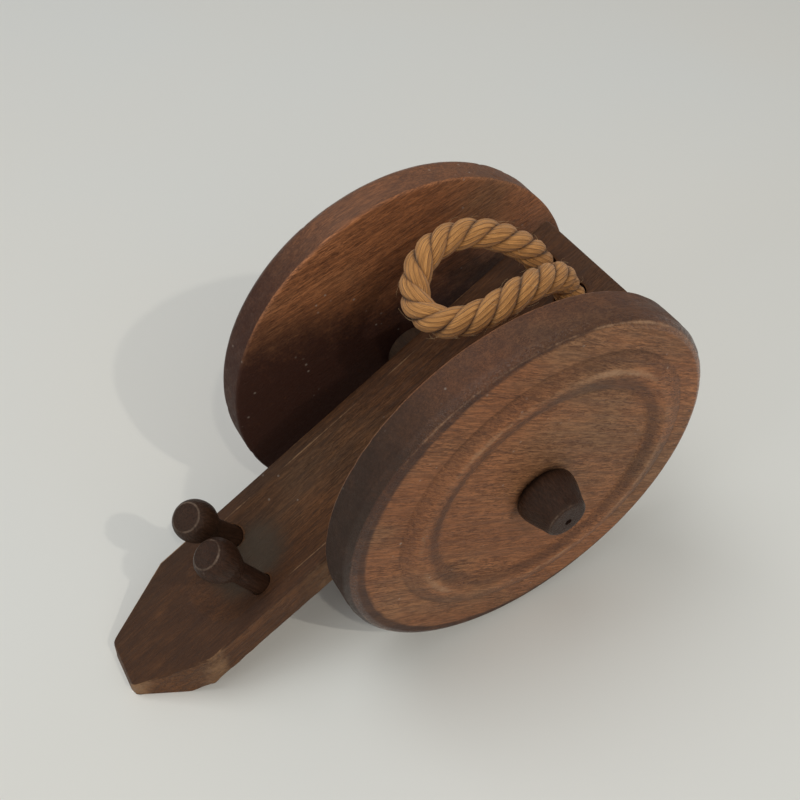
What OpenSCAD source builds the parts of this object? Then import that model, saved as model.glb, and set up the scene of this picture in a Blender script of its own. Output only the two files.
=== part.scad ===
// Bottle holder in the shape of a small ship's gun carriage: a sloping plank with a
// shallow trough rests on a round axle between two solid turned wheels, two pegs near
// the tail stop the bottle, and a loop of rope at the front holds its neck.
// X points to the front, Y to the left and Z up; the origin is on the floor, in the
// middle of the outline. Millimetres.

/* [Wheels] */
// Diameter of both wheels
wheel_d = 178; // [140:1:215]
// Thickness of a wheel at its flat face
wheel_t = 18; // [14:0.5:24]
// Clear width between the two wheels
wheel_gap = 81; // [78:0.5:98]
// Rounding of the outer edge of the tread
tread_round = 6; // [4:0.5:11]
// Height of the turned ring above the flat face
bead_h = 2.3; // [1:0.1:4]
// Width of the turned ring
bead_w = 19; // [12:0.5:24]

/* [Plank] */
// Width of the plank
plank_w = 56; // [46:1:66]
// Thickness of the plank
plank_t = 18; // [15:0.5:24]
// From the axle back to the tip of the tail, along the floor
tail_reach = 170; // [150:1:210]
// From the axle forward to the front end, along the plank
front_reach = 82; // [70:1:90]
// Length of the tapered tail, along the floor
taper_len = 32; // [20:1:45]
// Width of the tail at its tip
tip_w = 24.5; // [16:0.5:36]
// Length of the flat heel that stands on the floor
heel_len = 22.5; // [12:0.5:30]
// Width of the bottle trough at the top face
trough_w = 44; // [34:1:50]
// Depth of the bottle trough
trough_depth = 5.5; // [3:0.5:7]
// From the axle forward to the trough's round front end, along the plank
trough_front = 46; // [30:1:50]

/* [Axle and hub caps] */
// Diameter of the axle between the wheels
axle_d = 26; // [22:1:32]
// Diameter of the axle's ends, where the wheels turn
journal_d = 13; // [10:0.5:15]
// Diameter of a hub cap at its widest
cap_d = 27; // [22:0.5:34]
// Length of a hub cap
cap_len = 17.5; // [14:0.5:24]
// Diameter of a hub cap's flat end
cap_end_d = 17.5; // [12:0.5:20]

/* [Pegs] */
// From the axle back to the pegs, along the plank
peg_back = 115; // [95:1:125]
// Distance between the two pegs where they leave the plank
peg_spacing = 29; // [27:0.5:32]
// Diameter of a peg's head
peg_head_d = 18.5; // [14:0.5:20]
// Diameter of a peg's stem
peg_stem_d = 9.5; // [7:0.5:12]
// Height of a peg above the plank's top face
peg_h = 35; // [26:1:42]
// How far each peg leans towards the other, in degrees
peg_lean = 6; // [0:0.5:7]

/* [Rope] */
// Diameter of the rope
rope_d = 12.7; // [10:0.1:14]
// Distance between the two rope holes
rope_spacing = 20; // [19:0.5:26]
// From the axle forward to the rope holes, along the plank
rope_fwd = 65; // [58:1:68]
// Depth of the blind rope holes
rope_seat = 12.5; // [9:0.5:13]

/* [Hidden] */
$fn = 96;
wheel_r = wheel_d / 2;
axle_x = (tail_reach - wheel_r) / 2;
// height of the plank's underside over the axle's centre, square to the plank
seat_h = 2.7;
// the plank slopes so that its underside meets the floor just ahead of the heel
heel_x = tail_reach - heel_len;
slope = asin(seat_h / sqrt(heel_x * heel_x + wheel_r * wheel_r)) + atan(wheel_r / heel_x);
top_h = seat_h + plank_t;
trough_r = (trough_w * trough_w / 4 + trough_depth * trough_depth) / (2 * trough_depth);
trough_centre_h = trough_r - trough_depth;
// the middle of the trough's round end lies just behind the pegs
trough_past_pegs = 9;
tip_round = 5;
run_gap = 0.08;
end_play = 0.3;
cap_play = 0.7;
inner_y = wheel_gap / 2;
face_y = inner_y + wheel_t;
cap_y = face_y + cap_play;
bead_r = wheel_r * 0.68;
journal_in = 11;
journal_end_y = cap_y + journal_in;
pin_off = 2.6;
nail_d = 1.8;
nail_head_d = 3.2;
nail_sink = 1.6;
nail_len = 20;
peg_seat = 9;
screw_y = 14;
screw_d = 4;
screw_head_d = 8;
screw_head_h = 2.4;
screw_top = top_h - trough_depth - 3;
screw_low = axle_d / 2 - 1;
rope_hole_d = rope_d + 1.3;
cord_sides = 10;
cord_steps = 3;
eps = 0.01;
// route of the rope's centre over the plank as [forward of the holes, left, above the top face]
rope_route = [[0, 0, 12], [-5, 3, 26], [-14, 8, 38], [-26, 10, 45], [-38, 7, 48], [-47, 0, 47],
              [-51, -9, 46], [-48, -19, 44], [-40, -25, 42], [-29, -28, 40], [-18, -28, 37],
              [-8, -26, 30], [-1, -23, 20], [0, -20, 10]];

wood = "#7a5236";
dark_wood = "#6a4630";
pale_wood = "#a5764d";
rope_colour = "#c39a5c";
steel = "#8a8782";

// places its children in the plank's own frame: x along it, y across, z = 0 at its top face
module on_plank() {
    translate([axle_x, 0, wheel_r])
        rotate([0, -slope, 0])
            translate([0, 0, top_h])
                children();
}

// turns a profile drawn as [radius, distance left of the middle] about the axle
module about_axle() {
    translate([axle_x, 0, wheel_r])
        rotate([-90, 0, 0])
            rotate_extrude($fn = 144)
                children();
}

module left_or_right(side) {
    mirror([0, side == "right" ? 1 : 0, 0])
        children();
}

function arc(cx, cy, r, a0, a1, n) =
    [for (i = [0 : n]) [cx + r * cos(a0 + (a1 - a0) * i / n), cy + r * sin(a0 + (a1 - a0) * i / n)]];

// a smooth hump between two radii: half a wave, so it meets the flats without a corner at its top
function hump(mid, width, height, base, n) =
    [for (i = [0 : n]) [mid + width / 2 - width * i / n, base + height * pow(sin(180 * i / n), 0.75)]];

// --- plank ---

// the plank as seen from above, cut straight down at the tail
module tail_outline() {
    front = axle_x + front_reach;
    reach = tail_reach - axle_x;
    near = tail_reach - taper_len - axle_x;
    a = atan2((plank_w - tip_w) / 2, taper_len);
    // the corner circle touches the tip's edge and the tapered edge
    cy = tip_w / 2 - tip_round * tan((90 - a) / 2);
    cx = -reach + tip_round;
    polygon(concat([[front, plank_w / 2], [-near, plank_w / 2]],
                   arc(cx, cy, tip_round, 90 + a, 180, 5),
                   arc(cx, -cy, tip_round, 180, 270 - a, 5),
                   [[-near, -plank_w / 2], [front, -plank_w / 2]]));
}

// a round-bottomed groove with ball ends
module trough() {
    tail = -peg_back - trough_past_pegs;
    front = trough_front - trough_w / 2;
    intersection() {
        union() {
            translate([tail, 0, trough_centre_h])
                rotate([0, 90, 0])
                    cylinder(h = front - tail, r = trough_r, $fn = 180);
            for (x = [tail, front])
                translate([x, 0, trough_centre_h])
                    sphere(r = trough_r, $fn = 180);
        }
        translate([tail - trough_w, -trough_w, -trough_depth - 1])
            cube([front - tail + 2 * trough_w, 2 * trough_w, trough_depth + 2]);
    }
}

module peg_frame(side) {
    left_or_right(side)
        on_plank()
            translate([-peg_back, peg_spacing / 2, -peg_drop])
                rotate([peg_lean, 0, 0])
                    children();
}

// how far the trough's surface lies below the top face at the pegs
peg_drop = trough_depth - trough_r + sqrt(trough_r * trough_r - peg_spacing * peg_spacing / 4);

module trail_plank() {
    color(wood)
        difference() {
            intersection() {
                on_plank()
                    translate([-tail_reach * 1.4, -plank_w / 2, -plank_t])
                        cube([tail_reach * 1.4 + front_reach, plank_w, plank_t]);
                linear_extrude(height = 3 * wheel_r)
                    tail_outline();
            }
            on_plank()
                trough();
            for (side = ["left", "right"]) {
                peg_frame(side)
                    translate([0, 0, -peg_seat])
                        cylinder(h = peg_seat + 8, d = peg_stem_d, $fn = 48);
                left_or_right(side)
                    on_plank()
                        translate([rope_fwd, rope_spacing / 2, -rope_seat])
                            cylinder(h = rope_seat + 1, d = rope_hole_d, $fn = 48);
                left_or_right(side)
                    screw_line()
                        translate([0, 0, -1])
                            cylinder(h = screw_top + 1, d = screw_d, $fn = 36);
            }
        }
}

// --- axle ---

// places its children on the line of an axle screw: z = 0 at the axle's centre, z up through the plank
module screw_line() {
    on_plank()
        translate([0, screw_y, -top_h])
            children();
}

module axle_beam() {
    shoulder = inner_y - end_play;
    color(dark_wood)
        difference() {
            about_axle()
                polygon([[0, -journal_end_y], [journal_d / 2 - 0.8, -journal_end_y],
                         [journal_d / 2, -journal_end_y + 0.8], [journal_d / 2, -shoulder],
                         [axle_d / 2 - 1, -shoulder], [axle_d / 2, -shoulder + 1],
                         [axle_d / 2, shoulder - 1], [axle_d / 2 - 1, shoulder],
                         [journal_d / 2, shoulder], [journal_d / 2, journal_end_y - 0.8],
                         [journal_d / 2 - 0.8, journal_end_y], [0, journal_end_y]]);
            on_plank()
                translate([-axle_d, -plank_w / 2 - 0.2, -plank_t])
                    cube([2 * axle_d, plank_w + 0.4, axle_d]);
            for (side = ["left", "right"])
                left_or_right(side) {
                    screw_line()
                        translate([0, 0, -axle_d])
                            cylinder(h = 2 * axle_d, d = screw_d, $fn = 36);
                    screw_line()
                        translate([0, 0, -screw_low])
                            screw_head(4);
                    cap_nail_body(journal_in);
                }
        }
}

// countersunk head with its flat at z = 0; tail is how far it is carried on below
module screw_head(tail) {
    cylinder(h = screw_head_h, d1 = screw_head_d, d2 = screw_d, $fn = 48);
    translate([0, 0, -tail])
        cylinder(h = tail + eps, d = screw_head_d, $fn = 48);
}

module axle_screw(side) {
    color(steel)
        left_or_right(side)
            screw_line()
                difference() {
                    union() {
                        translate([0, 0, -screw_low])
                            cylinder(h = screw_head_h, d1 = screw_head_d, d2 = screw_d, $fn = 48);
                        translate([0, 0, -screw_low])
                            cylinder(h = screw_low + screw_top - 3, d = screw_d, $fn = 36);
                        translate([0, 0, screw_top - 3])
                            cylinder(h = 3, d1 = screw_d, d2 = 0.6, $fn = 36);
                    }
                    translate([-screw_head_d, -0.6, -screw_low - 1])
                        cube([2 * screw_head_d, 1.2, 2.1]);
                }
}

// --- wheels and hub caps ---

module wheel(side) {
    bore_r = journal_d / 2 + run_gap;
    r0 = wheel_r - tread_round;
    color(pale_wood)
        left_or_right(side)
            about_axle()
                polygon(concat([[bore_r, inner_y], [wheel_r - 1.2, inner_y], [wheel_r, inner_y + 1.2]],
                               arc(r0, face_y - tread_round, tread_round, 0, 90, 8),
                               hump(bead_r, bead_w, bead_h, face_y, 12),
                               [[bore_r + 0.6, face_y], [bore_r, face_y - 0.6]]));
}

module hub_cap(side) {
    belly = cap_d / 2;
    bore_r = journal_d / 2;
    color(dark_wood)
        left_or_right(side)
            difference() {
                about_axle()
                    polygon([[bore_r, cap_y], [belly - 1.6, cap_y], [belly - 0.5, cap_y + 1],
                             [belly, cap_y + 2.6], [belly - 0.1, cap_y + 4.5],
                             [belly - 0.7, cap_y + 7], [belly - 1.7, cap_y + 10],
                             [belly - 2.9, cap_y + cap_len - 4.5], [cap_end_d / 2 + 0.7, cap_y + cap_len - 1],
                             [cap_end_d / 2 - 0.6, cap_y + cap_len], [0, cap_y + cap_len],
                             [0, journal_end_y], [bore_r - 0.8, journal_end_y], [bore_r, journal_end_y - 0.8]]);
                cap_nail_body(cap_len + 1);
            }
}

// the straight hole or shank of a nail, off the axle's centre, and the wider end of its hole
module cap_nail_body(reach) {
    translate([axle_x, 0, wheel_r])
        rotate([-90, 0, 0])
            translate([pin_off, 0, cap_y + cap_len - nail_sink - nail_len])
                cylinder(h = nail_len + nail_sink + 1, d = nail_d, $fn = 24);
    translate([axle_x, 0, wheel_r])
        rotate([-90, 0, 0])
            translate([pin_off, 0, cap_y + cap_len - nail_sink - 1])
                cylinder(h = nail_sink + 3, d = nail_head_d, $fn = 24);
}

module cap_nail(side) {
    color(steel)
        left_or_right(side)
            translate([axle_x, 0, wheel_r])
                rotate([-90, 0, 0])
                    translate([pin_off, 0, cap_y + cap_len - nail_sink - nail_len]) {
                        cylinder(h = 2, d1 = 0.5, d2 = nail_d, $fn = 24);
                        translate([0, 0, 2])
                            cylinder(h = nail_len - 3, d = nail_d, $fn = 24);
                        translate([0, 0, nail_len - 1])
                            cylinder(h = 1, d = nail_head_d, $fn = 24);
                    }
}

// --- pegs ---

module peg(side) {
    top = peg_h + peg_drop;
    stem = peg_stem_d / 2;
    head = peg_head_d / 2;
    color(dark_wood)
        peg_frame(side)
            rotate_extrude($fn = 96)
                polygon([[0, -peg_seat], [stem, -peg_seat], [stem, 0], [stem, top - 22],
                         [stem + 0.5, top - 19], [stem + 1.8, top - 16.5], [head - 1.5, top - 13.5],
                         [head - 0.3, top - 10.5], [head, top - 7.5], [head - 0.3, top - 4.6],
                         [head - 1.2, top - 2.2], [head - 2.4, top - 0.7], [head - 3.4, top], [0, top]]);
}

// --- rope ---

function mix4(a, b, c, d, t) =
    0.5 * (2 * b + (c - a) * t + (2 * a - 5 * b + 4 * c - d) * t * t + (3 * b - a - 3 * c + d) * t * t * t);

function unit(v) = v / norm(v);

// the frames along a line, each turned as little as possible from the one before
function carried(side_v, dir) = unit(side_v - dir * (side_v * dir));

module cord(points, d, sides, steps) {
    n = len(points);
    line = concat([for (k = [0 : n - 2], j = [0 : steps - 1])
                       mix4(points[max(k - 1, 0)], points[k], points[k + 1], points[min(k + 2, n - 1)], j / steps)],
                  [points[n - 1]]);
    m = len(line);
    dirs = [for (i = [0 : m - 1])
                i == 0 ? [0, 0, 1] : i == m - 1 ? [0, 0, -1] : unit(line[i + 1] - line[i - 1])];
    sides_v = [for (i = 0, v = [0, 1, 0]; i < m; i = i + 1, v = i < m ? carried(v, dirs[i]) : v) v];
    pts = [for (i = [0 : m - 1], j = [0 : sides - 1])
               line[i] + d / 2 * (cos(360 * j / sides) * sides_v[i]
                                  + sin(360 * j / sides) * cross(dirs[i], sides_v[i]))];
    faces = concat([[for (j = [0 : sides - 1]) sides - 1 - j]],
                   [for (i = [0 : m - 2], j = [0 : sides - 1])
                        [i * sides + j, i * sides + (j + 1) % sides,
                         (i + 1) * sides + (j + 1) % sides, (i + 1) * sides + j]],
                   [[for (j = [0 : sides - 1]) (m - 1) * sides + j]]);
    polyhedron(points = pts, faces = [for (f = faces) [for (k = [len(f) - 1 : -1 : 0]) f[k]]]);
}

module rope_loop() {
    half = rope_spacing / 2;
    wide = rope_spacing / 20;
    over = concat([[0, 0, -rope_seat], [0, 0, -rope_seat / 2], [0, 0, 0]],
                  rope_route,
                  [[0, -20, 0], [0, -20, -rope_seat / 2], [0, -20, -rope_seat]]);
    color(rope_colour)
        on_plank()
            cord([for (p = over) [rope_fwd + p[0], half + p[1] * wide, p[2]]], rope_d, cord_sides, cord_steps);
}

trail_plank();
axle_beam();
wheel("left");  // left_wheel
wheel("right");  // right_wheel
hub_cap("left");  // left_hub_cap
hub_cap("right");  // right_hub_cap
cap_nail("left");  // left_cap_nail
cap_nail("right");  // right_cap_nail
peg("left");  // left_peg
peg("right");  // right_peg
rope_loop();
axle_screw("left");  // left_axle_screw
axle_screw("right");  // right_axle_screw
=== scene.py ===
import bmesh
import bpy
import math
import random
from mathutils import Matrix, Vector, noise


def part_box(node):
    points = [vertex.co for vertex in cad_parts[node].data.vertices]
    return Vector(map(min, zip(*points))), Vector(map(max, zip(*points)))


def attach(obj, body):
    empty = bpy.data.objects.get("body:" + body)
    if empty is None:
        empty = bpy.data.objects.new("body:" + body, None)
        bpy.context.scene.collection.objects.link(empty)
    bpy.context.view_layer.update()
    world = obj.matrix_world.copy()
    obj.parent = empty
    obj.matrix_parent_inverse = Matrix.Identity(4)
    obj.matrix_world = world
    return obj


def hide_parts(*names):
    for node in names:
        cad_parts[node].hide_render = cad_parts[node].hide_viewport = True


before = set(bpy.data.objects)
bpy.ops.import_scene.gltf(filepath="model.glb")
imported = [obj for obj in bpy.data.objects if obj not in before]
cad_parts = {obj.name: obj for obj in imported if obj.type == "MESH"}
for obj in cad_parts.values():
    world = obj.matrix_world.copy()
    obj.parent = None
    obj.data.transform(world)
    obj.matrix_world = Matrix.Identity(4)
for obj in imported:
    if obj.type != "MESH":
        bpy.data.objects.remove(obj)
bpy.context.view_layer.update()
mm = 0.001
carriage = "carriage"

# sizes that the frame gives
wheelLow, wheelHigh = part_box("left_wheel")
wheelRadius = (wheelHigh.z - wheelLow.z) / 2
axleX = (wheelHigh.x + wheelLow.x) / 2
axlePoint = Vector((axleX, 0, wheelRadius))
innerY = wheelLow.y
capLow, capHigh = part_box("left_hub_cap")

# the plank's own measures, the same as the model's
plankSize = {"width": 56 * mm, "thick": 18 * mm, "front": 82 * mm, "seat": 2.7 * mm, "tailReach": 170 * mm,
             "heel": 22.5 * mm, "taper": 32 * mm, "tip": 24.5 * mm, "tipRound": 5 * mm, "edgeRound": 1.1 * mm}
heelReach = plankSize["tailReach"] - plankSize["heel"]
slope = (math.asin(plankSize["seat"] / math.hypot(heelReach, wheelRadius))
         + math.atan(wheelRadius / heelReach))
topHeight = plankSize["seat"] + plankSize["thick"]


def onPlank(s, y, h):
    # s runs up the plank from the axle, y to the left, h above the top face
    return axlePoint + Vector((s * math.cos(slope) - (h + topHeight) * math.sin(slope), y,
                               s * math.sin(slope) + (h + topHeight) * math.cos(slope)))


cameraPlace = {"azimuth": -33.34, "elevation": 46.96, "roll": 3.24, "distance": 439.1 * mm,
               "aside": -26.04 * mm, "above": 0.8 * mm, "lens": 44.4}


def makeCamera():
    az, el = math.radians(cameraPlace["azimuth"]), math.radians(cameraPlace["elevation"])
    back = Vector((math.sin(az) * math.cos(el), -math.cos(az) * math.cos(el), math.sin(el)))
    right = (-back).cross(Vector((0, 0, 1))).normalized()
    up = right.cross(-back)
    turn = Matrix.Rotation(math.radians(-cameraPlace["roll"]), 3, -back)
    right, up = turn @ right, turn @ up
    data = bpy.data.cameras.new("camera")
    data.lens = cameraPlace["lens"]
    data.sensor_width = 36
    data.clip_start = 0.01
    made = bpy.data.objects.new("camera", data)
    place = (axlePoint + back * cameraPlace["distance"] + right * cameraPlace["aside"]
             + up * cameraPlace["above"])
    made.matrix_world = Matrix.Translation(place) @ Matrix((right, up, back)).transposed().to_4x4()
    bpy.context.scene.collection.objects.link(made)
    bpy.context.scene.camera = made


makeCamera()
print("camera set")


def newPiece(name, points, faces, material, smooth=True):
    data = bpy.data.meshes.new(name)
    data.from_pydata(points, [], faces)
    data.validate()
    data.materials.append(material)
    if smooth:
        data.polygons.foreach_set("use_smooth", [True] * len(data.polygons))
    made = bpy.data.objects.new(name, data)
    bpy.context.scene.collection.objects.link(made)
    return made


def addFloats(piece, name, values):
    piece.data.attributes.new(name, "FLOAT", "POINT").data.foreach_set("value", values)


def addMasks(piece, grain, **masks):
    flat = [x for v in grain for x in v]
    piece.data.attributes.new("grain", "FLOAT_VECTOR", "POINT").data.foreach_set("vector", flat)
    for name, values in masks.items():
        addFloats(piece, name, values)


def faceOut(piece):
    work = bmesh.new()
    work.from_mesh(piece.data)
    bmesh.ops.recalc_face_normals(work, faces=work.faces)
    work.to_mesh(piece.data)
    work.free()


def lathe(profile, place, segments=192, wobble=None):
    # turns [radius, height] points about the place's z axis; a first or last point on the axis is shared
    points, faces, rings = [], [], []
    for r, z in profile:
        count = 1 if r < 1e-7 else segments
        rings.append([len(points) + k for k in range(count)])
        for k in range(count):
            a = 2 * math.pi * k / segments
            rr, zz = (r, z) if wobble is None or count == 1 else wobble(r, z, a)
            points.append(place @ Vector((rr * math.cos(a), rr * math.sin(a), zz)))
    for low, high in zip(rings, rings[1:]):
        for k in range(segments):
            n = (k + 1) % segments
            face = [low[k % len(low)], low[n % len(low)], high[n % len(high)], high[k % len(high)]]
            faces.append(list(dict.fromkeys(face)))
    return points, faces, rings


def drillFaces(base, count):
    # a closed round drill of two rings, the near ring's points first
    faces = []
    for k in range(count):
        n = (k + 1) % count
        faces.append((base + k, base + n, base + count + n, base + count + k))
    near, far = range(base, base + count), range(base + count, base + 2 * count)
    return faces + [tuple(near)[::-1], tuple(far)]


def drill(piece, points, faces):
    cutter = newPiece("drill", points, faces, piece.data.materials[0])
    faceOut(cutter)
    change = piece.modifiers.new("drilled", "BOOLEAN")
    change.operation = "DIFFERENCE"
    change.solver = "EXACT"
    change.object = cutter
    depsgraph = bpy.context.evaluated_depsgraph_get()
    depsgraph.update()
    done = bpy.data.meshes.new_from_object(piece.evaluated_get(depsgraph), depsgraph=depsgraph)
    piece.modifiers.clear()
    piece.data = done
    bpy.data.objects.remove(cutter)


def arcPoints(cx, cy, r, a0, a1, count):
    return [(cx + r * math.cos(math.radians(a0 + (a1 - a0) * i / count)),
             cy + r * math.sin(math.radians(a0 + (a1 - a0) * i / count))) for i in range(count + 1)]


def between(a, b, count):
    return [(a[0] + (b[0] - a[0]) * i / count, a[1] + (b[1] - a[1]) * i / count) for i in range(count)]


def softStep(low, high, x):
    t = min(1, max(0, (x - low) / (high - low)))
    return t * t * (3 - 2 * t)


def feed(tree, made, inputs):
    # each input takes a link where it is given a socket, or else a plain value
    for key, value in inputs.items():
        if isinstance(value, bpy.types.NodeSocket):
            tree.links.new(value, made.inputs[key])
        else:
            made.inputs[key].default_value = value
    return made


def addNode(tree, kind, inputs=None, **settings):
    made = tree.nodes.new("ShaderNode" + kind)
    for name, value in settings.items():
        setattr(made, name, value)
    return feed(tree, made, inputs or {})


def readMask(tree, name):
    return addNode(tree, "Attribute", attribute_name=name).outputs["Fac"]


def newGroup(name, inputs, outputs):
    tree = bpy.data.node_groups.new(name, "ShaderNodeTree")
    kinds = {"f": "NodeSocketFloat", "c": "NodeSocketColor", "v": "NodeSocketVector"}
    for label, kind, value in inputs:
        socket = tree.interface.new_socket(label, in_out="INPUT", socket_type=kinds[kind])
        if value is not None:
            socket.default_value = value
    for label, kind in outputs:
        tree.interface.new_socket(label, in_out="OUTPUT", socket_type=kinds[kind])
    return tree, tree.nodes.new("NodeGroupInput").outputs, tree.nodes.new("NodeGroupOutput")


def useGroup(tree, group, inputs):
    return addNode(tree, "Group", inputs, node_tree=group)


def maths(tree, operation, a, b=None):
    given = {0: a} if b is None else {0: a, 1: b}
    return addNode(tree, "Math", given, operation=operation).outputs[0]


def times(tree, a, b):
    return maths(tree, "MULTIPLY", a, b)


def plus(tree, a, b):
    return maths(tree, "ADD", a, b)


def mixColour(tree, factor, a, b, mode="MIX"):
    made = addNode(tree, "Mix", {0: factor, 6: a, 7: b}, data_type="RGBA", blend_type=mode)
    return made.outputs[2]


def spread(tree, value, low, high, toLow=0.0, toHigh=1.0):
    return addNode(tree, "MapRange", {0: value, 1: low, 2: high, 3: toLow, 4: toHigh},
                   interpolation_type="SMOOTHSTEP").outputs[0]


def stretched(tree, vector, sizes):
    return addNode(tree, "VectorMath", {0: vector, 1: sizes}, operation="MULTIPLY").outputs[0]


def noiseAt(tree, vector, scale, detail=2.0, rough=0.5):
    return addNode(tree, "TexNoise", {"Vector": vector, "Scale": scale, "Detail": detail,
                                      "Roughness": rough}).outputs[0]


def grainNoise(tree, where, squash, scale, detail, rough=0.5):
    # noise drawn out along the grain
    return noiseAt(tree, stretched(tree, where, (squash, 1, 1)), scale, detail, rough)


def rgb(r, g, b):
    return (r, g, b, 1.0)


# wood seen in three dimensions: x of the coordinates runs along the grain
def makeWoodGroup():
    tree, given, out = newGroup("woodFigure", [
        ("Coordinates", "v", None), ("Light", "c", rgb(0.3, 0.15, 0.07)), ("Mid", "c", rgb(0.2, 0.1, 0.05)),
        ("Dark", "c", rgb(0.08, 0.04, 0.02)), ("Ring Spacing", "f", 0.004), ("Ring Strength", "f", 0.5),
        ("Pores", "f", 0.6), ("Streaks", "f", 0.5),
        ("Lines", "f", 0.4), ("Drab", "c", rgb(0.15, 0.09, 0.045))],
        [("Color", "c"), ("Height", "f"), ("Shine", "f")])
    where = given["Coordinates"]
    bend = grainNoise(tree, where, 0.12, 30, 3)
    apart = addNode(tree, "VectorMath", {0: stretched(tree, where, (0, 1, 1)), 1: (0, 0.075, 0.05)},
                    operation="ADD").outputs[0]
    fromPith = addNode(tree, "VectorMath", {0: apart}, operation="LENGTH").outputs["Value"]
    phase = plus(tree, maths(tree, "DIVIDE", fromPith, given["Ring Spacing"]),
                  times(tree, bend, 3.2))
    ring = maths(tree, "FRACT", phase)
    late = times(tree, spread(tree, ring, 0.35, 0.93), spread(tree, ring, 1.0, 0.95))
    streak = spread(tree, grainNoise(tree, where, 0.035, 520, 4, 0.6), 0.36, 0.66)
    patch = spread(tree, grainNoise(tree, where, 0.35, 38, 3), 0.3, 0.7)
    longPore = spread(tree, grainNoise(tree, where, 0.09, 2200, 1), 0.5, 0.68)
    shortPore = spread(tree, grainNoise(tree, where, 0.16, 3600, 1), 0.52, 0.7)
    crowd = spread(tree, grainNoise(tree, where, 0.3, 160, 2), 0.3, 0.62, 0.45, 1.0)
    pore = times(tree, times(tree, maths(tree, "MAXIMUM", longPore, shortPore), crowd),
                 given["Pores"])
    ground = mixColour(tree, patch, given["Mid"], given["Light"])
    lined = mixColour(tree, times(tree, late, given["Ring Strength"]), ground, given["Dark"])
    fine = mixColour(tree, times(tree, streak, given["Streaks"]), lined, given["Mid"])
    line = spread(tree, grainNoise(tree, where, 0.1, 1150, 3, 0.7), 0.42, 0.6)
    cloud = spread(tree, grainNoise(tree, where, 0.5, 22, 3, 0.6), 0.42, 0.68, 0.0, 0.7)
    drab = mixColour(tree, cloud, fine, given["Drab"])
    dense = mixColour(tree, times(tree, line, given["Lines"]), drab, given["Dark"])
    pored = mixColour(tree, pore, dense, given["Dark"])
    raised = maths(tree, "SUBTRACT", times(tree, streak, 0.35), times(tree, line, 0.5))
    height = maths(tree, "SUBTRACT", raised, pore)
    feed(tree, out, {"Color": pored, "Height": height, "Shine": times(tree, late, 0.5)})
    return tree


# rubbed edges with a painted highlight on the wheels' beads, dirt in the hollows with painted shade on the
# wheels, scratches and pale specks, from masks that the meshes carry
def makeWearAndShadingGroup():
    tree, given, out = newGroup("wearDirtAndShading", [
        ("Coordinates", "v", None), ("Color", "c", rgb(0.2, 0.1, 0.05)), ("WornAndHighlight Mask", "f", 0.0),
        ("DirtAndShade Mask", "f", 0.0), ("WornAndHighlight", "c", rgb(0.4, 0.3, 0.2)), ("DirtAndShade", "c", rgb(0.03, 0.02, 0.015)),
        ("Speck Amount", "f", 0.3)], [("Color", "c"), ("Height", "f"), ("Rough", "f")])
    where = given["Coordinates"]
    blotch = noiseAt(tree, where, 120, 4, 0.65)
    small = noiseAt(tree, where, 700, 3, 0.6)
    ragged = plus(tree, times(tree, blotch, 0.7), times(tree, small, 0.5))
    worn = times(tree, spread(tree, times(tree, given["WornAndHighlight Mask"], ragged), 0.22, 0.5), 0.85)
    dirt = spread(tree, times(tree, given["DirtAndShade Mask"], plus(tree, ragged, 0.35)), 0.15, 0.85)
    cells = addNode(tree, "TexVoronoi", {"Vector": where, "Scale": 210.0})
    near = spread(tree, cells.outputs["Distance"], 0.16, 0.07)
    cluster = spread(tree, noiseAt(tree, where, 55, 2), 0.56, 0.68)
    specks = times(tree, times(tree, near, cluster), given["Speck Amount"])
    dirty = mixColour(tree, dirt, given["Color"], given["DirtAndShade"])
    rubbedAndHighlighted = mixColour(tree, worn, dirty, given["WornAndHighlight"])
    speckled = mixColour(tree, specks, rubbedAndHighlighted, rgb(0.42, 0.36, 0.3))
    feed(tree, out, {"Color": speckled,
                     "Height": plus(tree, times(tree, specks, 0.6), times(tree, blotch, 0.5)),
                     "Rough": plus(tree, times(tree, dirt, 0.15), times(tree, small, 0.2))})
    return tree


# fibres along each strand of the rope, from the strand's own map; its groove mask is used to darken the yarn
# grooves as painted shade
def makeYarnGroup():
    tree, given, out = newGroup("yarnTwist", [
        ("Around", "f", 0.0), ("Along", "f", 0.0), ("Lean", "f", 0.8), ("Yarns", "f", 9.0)],
        [("Fibre", "f"), ("Height", "f"), ("Patch", "f"), ("Groove", "f")])
    across = plus(tree, given["Around"], times(tree, given["Along"], given["Lean"]))
    turn = times(tree, across, times(tree, given["Yarns"], 2 * math.pi))
    groove = maths(tree, "ABSOLUTE", maths(tree, "SINE", times(tree, turn, 0.5)))
    hair = addNode(tree, "CombineXYZ", {0: times(tree, across, 60),
                                        1: times(tree, given["Along"], 60), 2: 0.0}).outputs[0]
    fibre = noiseAt(tree, hair, 1.6, 4, 0.7)
    patchAt = addNode(tree, "CombineXYZ", {0: times(tree, across, 5),
                                           1: times(tree, given["Along"], 50), 2: 3.0}).outputs[0]
    feed(tree, out, {"Groove": spread(tree, groove, 0.42, 0.05), "Fibre": fibre,
                     "Height": plus(tree, times(tree, groove, 0.7), fibre),
                     "Patch": noiseAt(tree, patchAt, 1.0, 2)})
    return tree


woodGroup, wearAndShadingGroup, yarnGroup = makeWoodGroup(), makeWearAndShadingGroup(), makeYarnGroup()
woodRelief = 0.4 * mm  # depth of the grain and scratches in the bump


def newMaterial(name):
    made = bpy.data.materials.new(name)
    made.use_nodes = True
    made.node_tree.nodes.clear()
    shader = made.node_tree.nodes.new("ShaderNodeBsdfPrincipled")
    outNode = made.node_tree.nodes.new("ShaderNodeOutputMaterial")
    made.node_tree.links.new(shader.outputs[0], outNode.inputs[0])
    return made, made.node_tree, shader


def useWood(tree, where, look):
    return useGroup(tree, woodGroup, {"Coordinates": where, "Light": look["light"], "Mid": look["mid"],
                                      "Dark": look["dark"], "Ring Spacing": look["rings"],
                                      "Ring Strength": look["ringStrength"], "Pores": look["pores"],
                                      "Streaks": look["streaks"], "Lines": look["lines"],
                                      "Drab": look["drab"]})


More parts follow.
